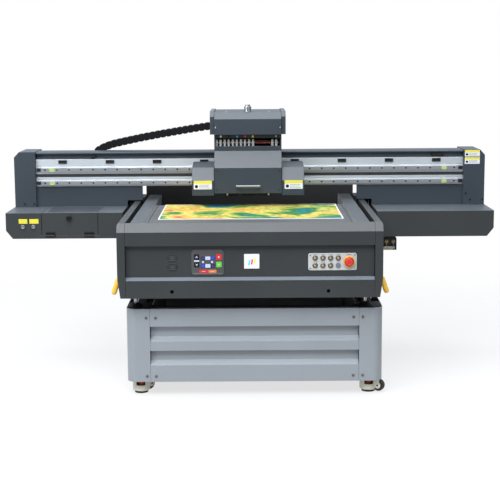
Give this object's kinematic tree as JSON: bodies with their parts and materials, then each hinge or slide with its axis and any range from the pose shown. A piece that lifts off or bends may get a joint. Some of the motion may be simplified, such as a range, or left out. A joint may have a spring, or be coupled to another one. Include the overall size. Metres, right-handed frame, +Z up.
{
  "type": "flatbed uv printer",
  "caption": "Free-standing flatbed UV inkjet printer: castered sheet-metal stand, fixed vacuum table, travelling gantry with side wings, and a sliding print carriage.",
  "frame": {"origin": "centre of the footprint, on the floor", "axes": "+Z up, +X to the operator's right along the beam, the operator stands at -Y"},
  "size_m": [2.352, 1.186, 1.273],
  "materials": {
    "frame_black": "satin",
    "cover_dark": "satin",
    "cover_blue_grey": "satin",
    "stand_grey": "satin",
    "beam_alu": "satin",
    "steel": "brushed",
    "chrome": "polished",
    "black_plastic": "matte",
    "cream_plastic": "satin",
    "yellow": "gloss",
    "red_plastic": "gloss",
    "table_grey": "matte",
    "media": "satin",
    "clear_plastic": "gloss",
    "tyre_black": "matte"
  },
  "bodies": {
    "stand": {"base_frame": "frame_black", "base_corner_posts": "stand_grey", "base_front_panel": "stand_grey", "base_panels": "stand_grey", "base_screws": "chrome", "base_corner_plates": "frame_black", "levelling_feet": "steel", "body_frame": "frame_black", "front_apron": "cover_dark", "side_cover_left": "cover_dark", "side_cover_right": "cover_dark", "rail_cover_left": "cover_blue_grey", "rail_cover_right": "cover_blue_grey", "y_rails": "steel", "vacuum_table": "table_grey", "media_board": "media", "rear_shield": "frame_black", "keypad": "cover_blue_grey", "switch_plate": "steel", "control_bezels": "steel", "front_fittings": "cream_plastic", "side_grips": "yellow"},
    "gantry": {"beam": "beam_alu", "x_rails": "steel", "belt_and_clips": "black_plastic", "beam_cover": "cover_blue_grey", "upright_left": "cover_dark", "upright_right": "cover_dark", "wing_left": "cover_dark", "wing_right": "cover_dark", "beam_panels": "cover_dark", "gantry_legs": "frame_black", "drain_bracket": "frame_black", "drag_chain": "black_plastic"},
    "carriage": {"carriage_plate": "steel"},
    "head": {"carriage_cover": "cover_dark", "print_heads": "black_plastic", "ink_box": "cover_dark", "ink_fittings": "clear_plastic", "lamp_boxes": "cover_dark", "carriage_hardware": "chrome"},
    "wing_door": {"wing_door": "cover_dark"},
    "door_knob": {"door_knob": "black_plastic"},
    "y_shaft": {"y_drive_shaft": "steel"},
    "estop": {"estop_head": "red_plastic"},
    "button_1": {"button_1": "steel"},
    "button_2": {"button_2": "steel"},
    "button_3": {"button_3": "steel"},
    "button_4": {"button_4": "steel"},
    "button_5": {"button_5": "steel"},
    "button_6": {"button_6": "steel"},
    "button_7": {"button_7": "steel"},
    "caster_fl": {"caster_fl": "cream_plastic"},
    "wheel_fl": {"wheel_fl": "tyre_black"},
    "caster_fr": {"caster_fr": "cream_plastic"},
    "wheel_fr": {"wheel_fr": "tyre_black"},
    "caster_rl": {"caster_rl": "cream_plastic"},
    "wheel_rl": {"wheel_rl": "tyre_black"},
    "caster_rr": {"caster_rr": "cream_plastic"},
    "wheel_rr": {"wheel_rr": "tyre_black"}
  },
  "joints": [
    {"name": "gantry_travel", "type": "slide", "parent": "stand", "child": "gantry", "axis": [0, -1, 0], "range_m": [0, 0.6]},
    {"name": "y_shaft_spin", "type": "hinge", "parent": "stand", "child": "y_shaft", "pos_m": [0, 0.529, 0.723], "axis": [1, 0, 0], "range_deg": [0, 1912]},
    {"name": "carriage_travel", "type": "slide", "parent": "gantry", "child": "carriage", "axis": [1, 0, 0], "range_m": [-0.78, 0.78], "deforming": ["drag_chain"]},
    {"name": "head_lift", "type": "slide", "parent": "carriage", "child": "head", "axis": [0, 0, -1], "range_m": [0, 0.04]},
    {"name": "wing_door_hinge", "type": "hinge", "parent": "gantry", "child": "wing_door", "pos_m": [-0.8675, 0.007, 0.652], "axis": [1, 0, 0], "range_deg": [0, 90]},
    {"name": "door_knob_turn", "type": "hinge", "parent": "wing_door", "child": "door_knob", "pos_m": [-0.87, 0.004, 0.738], "axis": [0, 1, 0], "range_deg": [0, 90]},
    {"name": "button_1_press", "type": "slide", "parent": "stand", "child": "button_1", "axis": [0, 1, 0], "range_m": [0, 0.003], "stiffness_N_per_m": 400, "springref_m": -0.002},
    {"name": "button_2_press", "type": "slide", "parent": "stand", "child": "button_2", "axis": [0, 1, 0], "range_m": [0, 0.003], "stiffness_N_per_m": 400, "springref_m": -0.002},
    {"name": "button_3_press", "type": "slide", "parent": "stand", "child": "button_3", "axis": [0, 1, 0], "range_m": [0, 0.003], "stiffness_N_per_m": 400, "springref_m": -0.002},
    {"name": "button_4_press", "type": "slide", "parent": "stand", "child": "button_4", "axis": [0, 1, 0], "range_m": [0, 0.003], "stiffness_N_per_m": 400, "springref_m": -0.002},
    {"name": "button_5_press", "type": "slide", "parent": "stand", "child": "button_5", "axis": [0, 1, 0], "range_m": [0, 0.003], "stiffness_N_per_m": 400, "springref_m": -0.002},
    {"name": "button_6_press", "type": "slide", "parent": "stand", "child": "button_6", "axis": [0, 1, 0], "range_m": [0, 0.003], "stiffness_N_per_m": 400, "springref_m": -0.002},
    {"name": "button_7_press", "type": "slide", "parent": "stand", "child": "button_7", "axis": [0, 1, 0], "range_m": [0, 0.003], "stiffness_N_per_m": 400, "springref_m": -0.002},
    {"name": "estop_press", "type": "slide", "parent": "stand", "child": "estop", "axis": [0, 1, 0], "range_m": [0, 0.006]},
    {"name": "caster_fl_swivel", "type": "hinge", "parent": "stand", "child": "caster_fl", "pos_m": [-0.496, -0.445, 0.038], "axis": [0, 0, 1], "continuous": true},
    {"name": "wheel_fl_spin", "type": "hinge", "parent": "caster_fl", "child": "wheel_fl", "pos_m": [-0.46386, -0.4067, 0.031], "axis": [0.766, -0.6428, 0], "continuous": true},
    {"name": "caster_fr_swivel", "type": "hinge", "parent": "stand", "child": "caster_fr", "pos_m": [0.532, -0.445, 0.038], "axis": [0, 0, 1], "continuous": true},
    {"name": "wheel_fr_spin", "type": "hinge", "parent": "caster_fr", "child": "wheel_fr", "pos_m": [0.57732, -0.46613, 0.031], "axis": [-0.4226, -0.9063, 0], "continuous": true},
    {"name": "caster_rl_swivel", "type": "hinge", "parent": "stand", "child": "caster_rl", "pos_m": [-0.496, 0.419, 0.038], "axis": [0, 0, 1], "continuous": true},
    {"name": "wheel_rl_spin", "type": "hinge", "parent": "caster_rl", "child": "wheel_rl", "pos_m": [-0.44902, 0.4361, 0.031], "axis": [0.342, -0.9397, 0], "continuous": true},
    {"name": "caster_rr_swivel", "type": "hinge", "parent": "stand", "child": "caster_rr", "pos_m": [0.532, 0.419, 0.038], "axis": [0, 0, 1], "continuous": true},
    {"name": "wheel_rr_spin", "type": "hinge", "parent": "caster_rr", "child": "wheel_rr", "pos_m": [0.5491, 0.46598, 0.031], "axis": [0.9397, -0.342, 0], "continuous": true}
  ],
  "couplings": [
    {"joint": "y_shaft_spin", "follows": "gantry_travel", "rad_per_m": 55.556}
  ]
}
